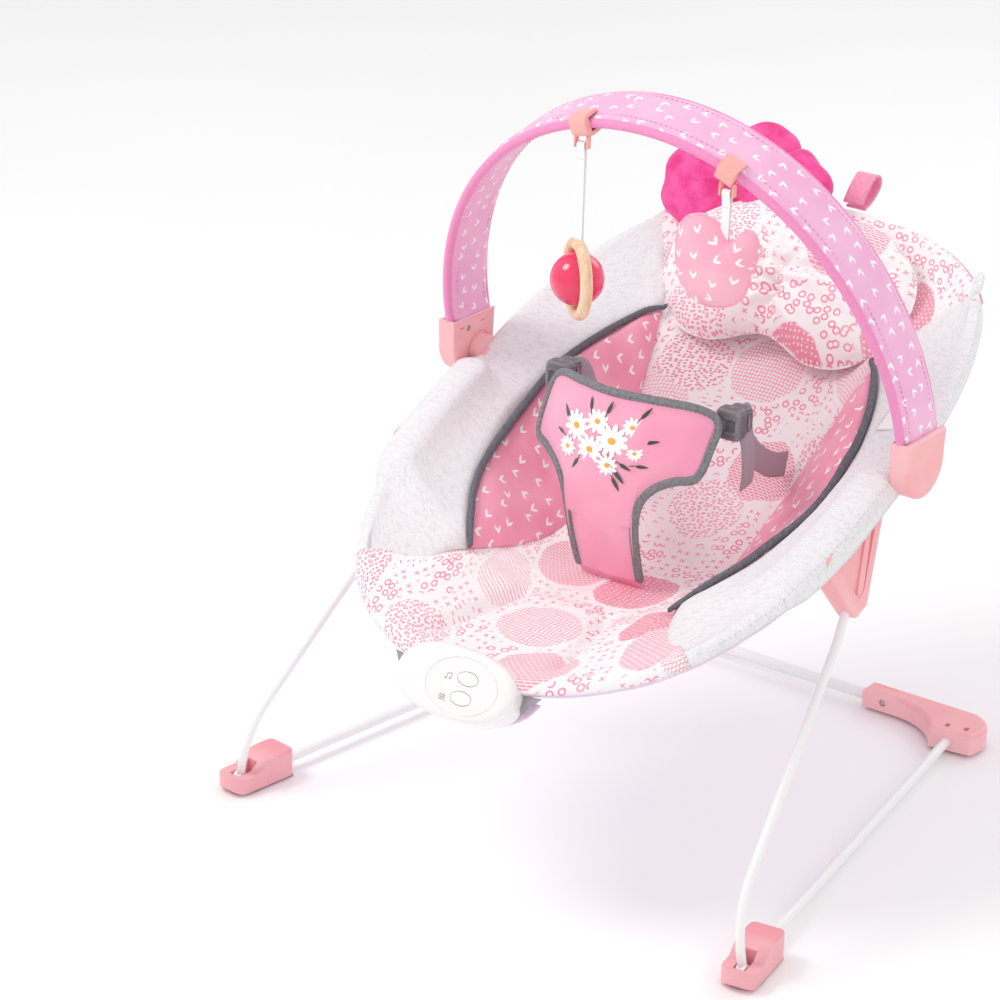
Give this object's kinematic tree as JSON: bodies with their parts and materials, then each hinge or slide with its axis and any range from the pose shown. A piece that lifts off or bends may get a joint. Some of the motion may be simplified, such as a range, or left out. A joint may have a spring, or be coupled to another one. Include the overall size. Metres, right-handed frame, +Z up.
{
  "type": "baby bouncer seat",
  "caption": "Reclined oval fabric seat sprung on bent wire legs, with a fold-down restraint, a pivoting padded toy bar with hanging toys and a sound and vibration unit.",
  "frame": {"origin": "floor point under the middle of the bounding box", "axes": "+X across the seat, to the right as seen from the foot end; +Y towards the head end; +Z up"},
  "size_m": [0.5002, 0.5859, 0.5692],
  "materials": {
    "white_steel": "gloss",
    "pink_plastic": "satin",
    "foot_plastic": "satin",
    "dark_rubber": "matte",
    "steel_pin": "satin",
    "melange_fabric": "matte",
    "pink_print": "matte",
    "grey_buckle": "satin",
    "grey_webbing": "matte",
    "clip_plastic": "gloss",
    "lilac_fabric": "satin",
    "white_print": "matte",
    "white_plastic": "gloss",
    "board": "satin",
    "velour": "plush",
    "loop_fabric": "matte",
    "label_fabric": "matte",
    "core_plastic": "satin",
    "sleeve_fabric": "matte",
    "satin_ribbon": "satin",
    "pale_wood": "satin",
    "cord": "matte",
    "ball_plastic": "gloss",
    "heart_fabric": "matte",
    "panel_fabric": "satin"
  },
  "bodies": {
    "base": {"rear_bar": "white_steel", "floor_rod_left": "white_steel", "floor_rod_right": "white_steel", "rear_elbow_left": "pink_plastic", "rear_elbow_right": "pink_plastic", "rear_pad_left": "dark_rubber", "rear_pad_right": "dark_rubber", "front_foot_left": "foot_plastic", "front_foot_right": "foot_plastic", "foot_sole_left": "dark_rubber", "foot_sole_right": "dark_rubber"},
    "seat": {"upright_rod_left": "white_steel", "upright_rod_right": "white_steel", "pivot_pin_left": "steel_pin", "pivot_pin_right": "steel_pin", "side_bracket_left": "pink_plastic", "side_bracket_right": "pink_plastic", "side_panel_left": "melange_fabric", "side_panel_right": "melange_fabric", "seat_wing_left": "pink_print", "seat_wing_right": "pink_print", "buckle_plug_left": "grey_buckle", "buckle_plug_right": "grey_buckle", "waist_strap_left": "grey_webbing", "waist_strap_right": "grey_webbing", "seat_tube_lower": "white_steel", "seat_tube_upper": "white_steel", "rim_hem": "lilac_fabric", "centre_pad": "white_print", "seat_back": "lilac_fabric", "unit_front_cover": "white_plastic", "unit_back_cover": "white_plastic", "battery_door": "white_plastic", "circuit_board": "board", "vibration_motor": "steel_pin", "unit_flap": "lilac_fabric", "head_pillow": "white_print", "flower_plush": "velour", "head_loop": "loop_fabric", "care_label": "label_fabric"},
    "toy_bar": {"bar_core": "core_plastic", "bar_sleeve": "sleeve_fabric", "hub_inner_left": "pink_plastic", "hub_inner_right": "pink_plastic", "hub_outer_left": "pink_plastic", "hub_outer_right": "pink_plastic", "toy_clip_left": "clip_plastic", "toy_clip_right": "clip_plastic"},
    "ring_toy": {"ring_ribbon": "satin_ribbon", "wood_ring": "pale_wood", "ball_cord": "cord"},
    "ball": {"toy_ball": "ball_plastic"},
    "heart_toy": {"heart_ribbon": "satin_ribbon", "heart_plush": "heart_fabric"},
    "restraint": {"restraint_panel": "panel_fabric", "buckle_socket_left": "grey_buckle", "buckle_socket_right": "grey_buckle"},
    "music_key": {"button_music": "white_plastic"},
    "vibration_key": {"button_vibration": "white_plastic"},
    "motor_weight": {"motor_weight": "steel_pin"}
  },
  "joints": [
    {"name": "bounce", "type": "hinge", "parent": "base", "child": "seat", "pos_m": [0, -0.24, 0.01], "axis": [1, 0, 0], "range_deg": [-5, 3], "stiffness_Nm_per_rad": 139, "springref_deg": 1.72},
    {"name": "toy_bar_pivot", "type": "hinge", "parent": "seat", "child": "toy_bar", "pos_m": [0, 0.02, 0.308], "axis": [1, 0, 0], "range_deg": [-30, 35]},
    {"name": "ring_toy_swing", "type": "hinge", "parent": "toy_bar", "child": "ring_toy", "pos_m": [-0.045, -0.06988, 0.53114], "axis": [1, 0, 0], "range_deg": [-25, 25]},
    {"name": "ball_spin", "type": "hinge", "parent": "ring_toy", "child": "ball", "pos_m": [-0.045, -0.06988, 0.426], "axis": [0, 0, 1], "continuous": true},
    {"name": "heart_toy_swing", "type": "hinge", "parent": "toy_bar", "child": "heart_toy", "pos_m": [0.081, -0.0666, 0.51904], "axis": [1, 0, 0], "range_deg": [-25, 25]},
    {"name": "restraint_fold", "type": "hinge", "parent": "seat", "child": "restraint", "pos_m": [0, -0.069, 0.189], "axis": [1, 0, 0], "range_deg": [0, 46]},
    {"name": "music_press", "type": "slide", "parent": "seat", "child": "music_key", "axis": [0, 0.8192, -0.5736], "range_m": [0, 0.001], "stiffness_N_per_m": 300},
    {"name": "vibration_press", "type": "slide", "parent": "seat", "child": "vibration_key", "axis": [0, 0.8192, -0.5736], "range_m": [0, 0.001], "stiffness_N_per_m": 300},
    {"name": "motor_weight_spin", "type": "hinge", "parent": "seat", "child": "motor_weight", "pos_m": [-0.0024, -0.25805, 0.19368], "axis": [1, 0, 0], "continuous": true}
  ]
}
